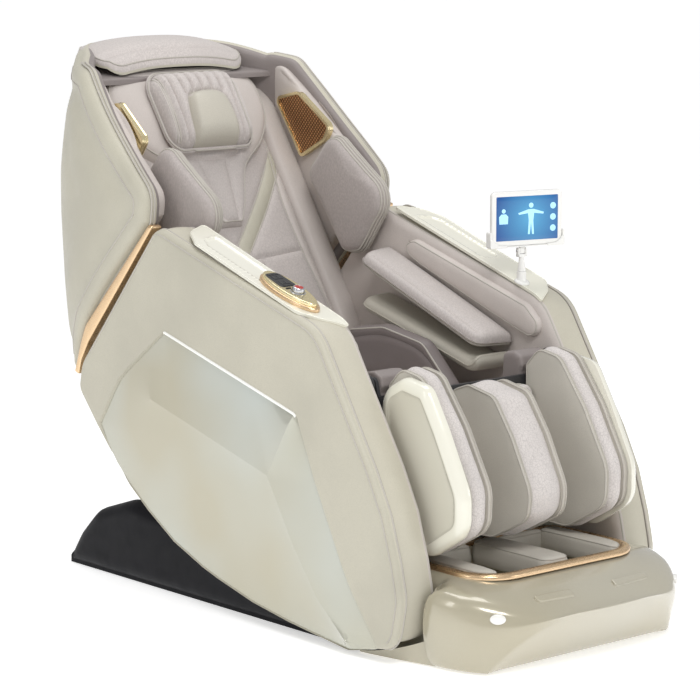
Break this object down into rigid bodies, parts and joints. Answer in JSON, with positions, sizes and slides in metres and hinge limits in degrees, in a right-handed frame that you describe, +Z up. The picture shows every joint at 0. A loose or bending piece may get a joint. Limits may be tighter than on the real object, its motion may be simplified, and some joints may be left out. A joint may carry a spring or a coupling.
{
  "type": "massage chair",
  "caption": "Reclining cabin massage chair with winged backrest, padded armrests with forearm pads, tablet stand, lifting calf rest and extending foot box on a low sled base.",
  "frame": {"origin": "on the floor, at the centre of the overall footprint", "axes": "front is -Y, rear is +Y, the sitter's left is +X, up is +Z"},
  "size_m": [0.8089, 1.68, 1.26],
  "materials": {
    "frame_steel": "satin black powder coat",
    "base_plastic": "black moulded plastic",
    "rubber_foot": "black rubber",
    "rail_steel": "ground steel",
    "motor_metal": "grey paint",
    "black_plastic": "black plastic",
    "red_plastic": "red gloss",
    "seat_leather": "light grey-mauve leather",
    "inner_leather": "grey-mauve leather",
    "arm_leather": "cream leather",
    "pearl_shell": "champagne pearl gloss",
    "cream_gloss": "cream gloss",
    "gold_trim": "brushed champagne gold",
    "speaker_grille": "copper grille",
    "white_plastic": "white gloss",
    "screen": "blue display",
    "knob_metal": "turned aluminium",
    "roller_plastic": "cream nylon",
    "calf_leather": "pale leather",
    "wheel_rubber": "black rubber"
  },
  "bodies": {
    "base": {"base_frame": "frame_steel", "base_shell": "base_plastic", "base_feet": "rubber_foot", "glide_rails": "rail_steel", "power_inlet": "black_plastic", "glide_actuator": "motor_metal"},
    "power_rocker": {"power_switch": "red_plastic"},
    "wheelset": {"transport_wheels": "wheel_rubber"},
    "carriage": {"glide_carriage": "frame_steel", "glide_rod": "rail_steel", "tilt_jack": "motor_metal"},
    "tilt_screw": {"tilt_rod": "rail_steel"},
    "seat": {"seat_frame": "frame_steel", "seat_cushion": "seat_leather", "leg_motors": "motor_metal", "control_box": "black_plastic", "arm_core_right": "inner_leather", "arm_core_left": "inner_leather", "arm_band_right": "arm_leather", "arm_band_left": "arm_leather", "side_shell_right": "pearl_shell", "side_shell_left": "pearl_shell", "arm_tops": "cream_gloss", "forearm_pads": "seat_leather", "hip_pads": "inner_leather", "control_pod": "gold_trim", "tablet_foot": "white_plastic", "back_actuator": "motor_metal"},
    "knob": {"control_knob": "knob_metal"},
    "key_a": {"control_key_a": "black_plastic"},
    "key_b": {"control_key_b": "black_plastic"},
    "tablet_stand": {"tablet_pole": "white_plastic"},
    "tablet_holder": {"tablet_cradle": "white_plastic", "tablet": "screen"},
    "recline_rod": {"back_actuator_rod": "rail_steel"},
    "backrest": {"back_frame": "frame_steel", "track_rails": "rail_steel", "rear_shell": "arm_leather", "wing_right": "arm_leather", "wing_left": "arm_leather", "wing_trims": "gold_trim", "wing_linings": "inner_leather", "speakers": "speaker_grille", "shoulder_pad_right": "inner_leather", "shoulder_pad_left": "inner_leather", "back_cushion": "seat_leather", "head_pad": "seat_leather", "head_flap": "seat_leather", "head_pillow": "seat_leather"},
    "massage_unit": {"massage_carriage": "motor_metal"},
    "kneading_arms": {"roller_arms": "rail_steel"},
    "roller_set_upper": {"upper_rollers": "roller_plastic"},
    "roller_set_lower": {"lower_rollers": "roller_plastic"},
    "leg_rest": {"calf_frame": "frame_steel", "calf_covers": "cream_gloss", "calf_pads": "calf_leather"},
    "foot_box": {"foot_shell": "pearl_shell", "foot_ring": "gold_trim"},
    "sole_front": {"sole_roller_front": "black_plastic"},
    "sole_rear": {"sole_roller_rear": "black_plastic"}
  },
  "joints": [
    {"name": "power_rocker_tilt", "type": "hinge", "parent": "base", "child": "power_rocker", "pos_m": [0.04, 0.634, 0.046], "axis": [1, 0, 0], "range_deg": [-8, 8]},
    {"name": "wheels_roll", "type": "hinge", "parent": "base", "child": "wheelset", "pos_m": [0, 0.584, 0.032], "axis": [1, 0, 0], "continuous": true},
    {"name": "seat_glide", "type": "slide", "parent": "base", "child": "carriage", "axis": [0, -1, 0], "range_m": [0, 0.1]},
    {"name": "seat_tilt", "type": "hinge", "parent": "carriage", "child": "seat", "pos_m": [0, -0.1, 0.2], "axis": [-1, 0, 0], "range_deg": [0, 8]},
    {"name": "tilt_screw_lift", "type": "slide", "parent": "carriage", "child": "tilt_screw", "axis": [0, 0, 1], "range_m": [0, 0.0119]},
    {"name": "knob_turn", "type": "hinge", "parent": "seat", "child": "knob", "pos_m": [-0.334, -0.20321, 0.74457], "axis": [0, -0.3133, 0.9496], "range_deg": [-150, 150]},
    {"name": "key_a_press", "type": "slide", "parent": "seat", "child": "key_a", "axis": [0, 0.3133, -0.9496], "range_m": [0, 0.0012], "stiffness_N_per_m": 900},
    {"name": "key_b_press", "type": "slide", "parent": "seat", "child": "key_b", "axis": [0, 0.3133, -0.9496], "range_m": [0, 0.0012], "stiffness_N_per_m": 900},
    {"name": "tablet_swivel", "type": "hinge", "parent": "seat", "child": "tablet_stand", "pos_m": [0.302, -0.25252, 0.72167], "axis": [0, 0, 1], "range_deg": [-60, 60]},
    {"name": "tablet_nod", "type": "hinge", "parent": "tablet_stand", "child": "tablet_holder", "pos_m": [0.302, -0.25252, 0.80167], "axis": [0.9659, -0.2588, 0], "range_deg": [-20, 20]},
    {"name": "back_recline", "type": "hinge", "parent": "seat", "child": "backrest", "pos_m": [0, 0.4, 0.34], "axis": [-1, 0, 0], "range_deg": [0, 36]},
    {"name": "recline_rod_slide", "type": "slide", "parent": "seat", "child": "recline_rod", "axis": [0, -1, 0], "range_m": [0, 0.05]},
    {"name": "massage_travel", "type": "slide", "parent": "backrest", "child": "massage_unit", "axis": [0, 0.5446, 0.8387], "range_m": [0, 0.36]},
    {"name": "kneading_rock", "type": "hinge", "parent": "massage_unit", "child": "kneading_arms", "pos_m": [0, 0.45834, 0.61185], "axis": [1, 0, 0], "range_deg": [-6, 6]},
    {"name": "upper_rollers_spin", "type": "hinge", "parent": "kneading_arms", "child": "roller_set_upper", "pos_m": [0, 0.47601, 0.66477], "axis": [1, 0, 0], "continuous": true},
    {"name": "lower_rollers_spin", "type": "hinge", "parent": "kneading_arms", "child": "roller_set_lower", "pos_m": [0, 0.41718, 0.57419], "axis": [1, 0, 0], "continuous": true},
    {"name": "leg_lift", "type": "hinge", "parent": "seat", "child": "leg_rest", "pos_m": [0, -0.37, 0.57], "axis": [-1, 0, 0], "range_deg": [0, 80]},
    {"name": "foot_extend", "type": "slide", "parent": "leg_rest", "child": "foot_box", "axis": [0, 0, -1], "range_m": [0, 0.12]},
    {"name": "sole_front_spin", "type": "hinge", "parent": "foot_box", "child": "sole_front", "pos_m": [0, -0.61, 0.048], "axis": [1, 0, 0], "continuous": true},
    {"name": "sole_rear_spin", "type": "hinge", "parent": "foot_box", "child": "sole_rear", "pos_m": [0, -0.51, 0.048], "axis": [1, 0, 0], "continuous": true}
  ],
  "couplings": [
    {"joint": "recline_rod_slide", "follows": "back_recline", "m_per_rad": 0.07858},
    {"joint": "tilt_screw_lift", "follows": "seat_tilt", "m_per_rad": 0.08472}
  ]
}
